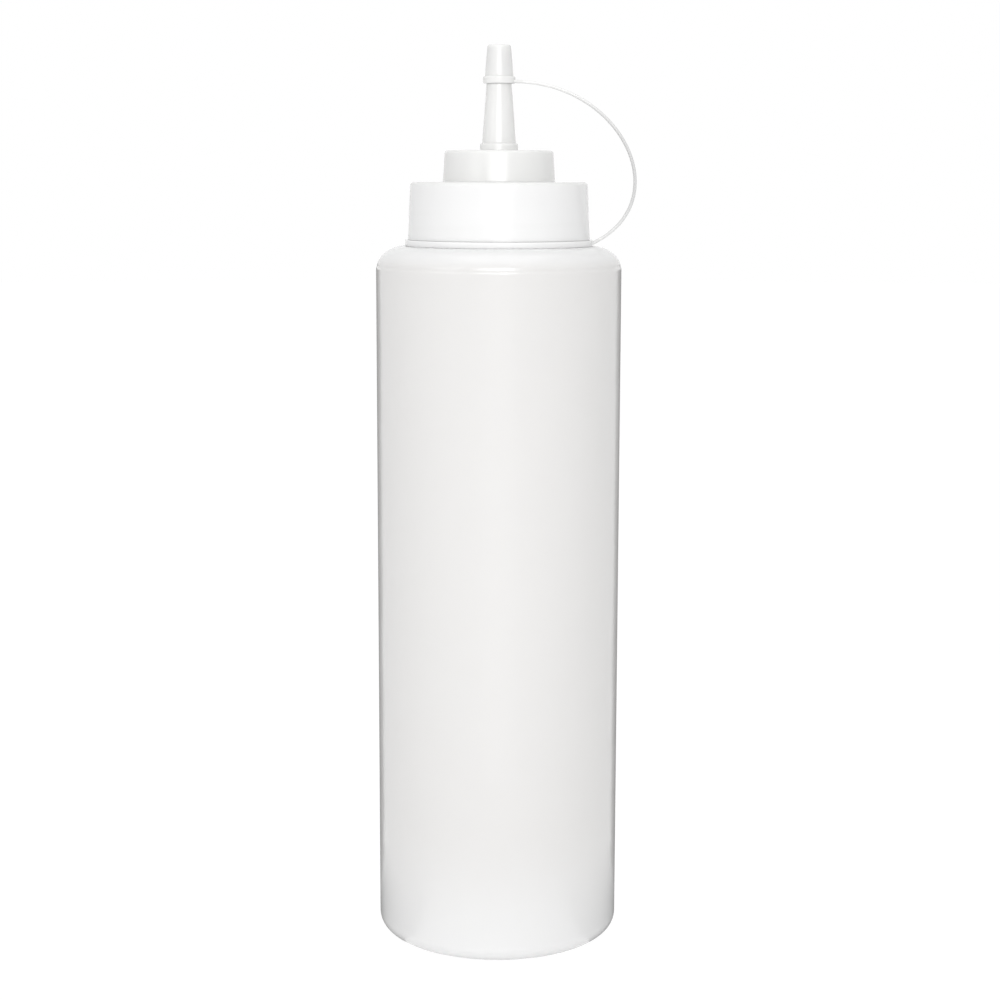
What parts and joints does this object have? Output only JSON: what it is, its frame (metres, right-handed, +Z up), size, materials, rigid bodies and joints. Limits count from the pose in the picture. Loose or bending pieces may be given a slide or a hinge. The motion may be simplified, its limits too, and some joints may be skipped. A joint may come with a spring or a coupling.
{
  "type": "squeeze bottle with screw cap and tethered tip cap",
  "caption": "Round squeeze bottle for sauces, with a screw cap, hollow cone nozzle and a tip cap held by a strap to a ring round the neck.",
  "frame": {"origin": "centre of the flat ring that the bottle stands on, on the bottle's axis", "axes": "+Z up along the bottle's axis towards the nozzle tip, +X towards the side where the strap bows out, as in the picture"},
  "size_m": [0.0744, 0.07, 0.2573],
  "materials": {
    "bottle_ldpe": "satin, translucent",
    "closure_ldpe": "satin, translucent",
    "leash_ldpe": "satin, translucent",
    "liner_foam": "matte"
  },
  "bodies": {
    "bottle": {"bottle": "bottle_ldpe"},
    "washer": {"cap_liner": "liner_foam"},
    "cap": {"screw_cap": "closure_ldpe"},
    "leash": {"tether_ring": "leash_ldpe", "tether_strap": "leash_ldpe"},
    "tip_cap": {"tip_cap": "leash_ldpe"}
  },
  "joints": [
    {"name": "cap_lift", "type": "slide", "parent": "bottle", "child": "washer", "axis": [0, 0, 1], "range_m": [0, 0.00635]},
    {"name": "cap_turn", "type": "hinge", "parent": "washer", "child": "cap", "pos_m": [0, 0, 0.2192], "axis": [0, 0, 1], "range_deg": [0, 540]},
    {"name": "leash_turn", "type": "hinge", "parent": "washer", "child": "leash", "pos_m": [0, 0, 0.2021], "axis": [0, 0, 1], "continuous": true},
    {"name": "tip_cap_pull", "type": "slide", "parent": "leash", "child": "tip_cap", "axis": [0, 0, 1], "range_m": [0, 0.014], "deforming": ["tether_strap"]}
  ],
  "couplings": [
    {"joint": "cap_turn", "follows": "cap_lift", "rad_per_m": 1484.2}
  ]
}
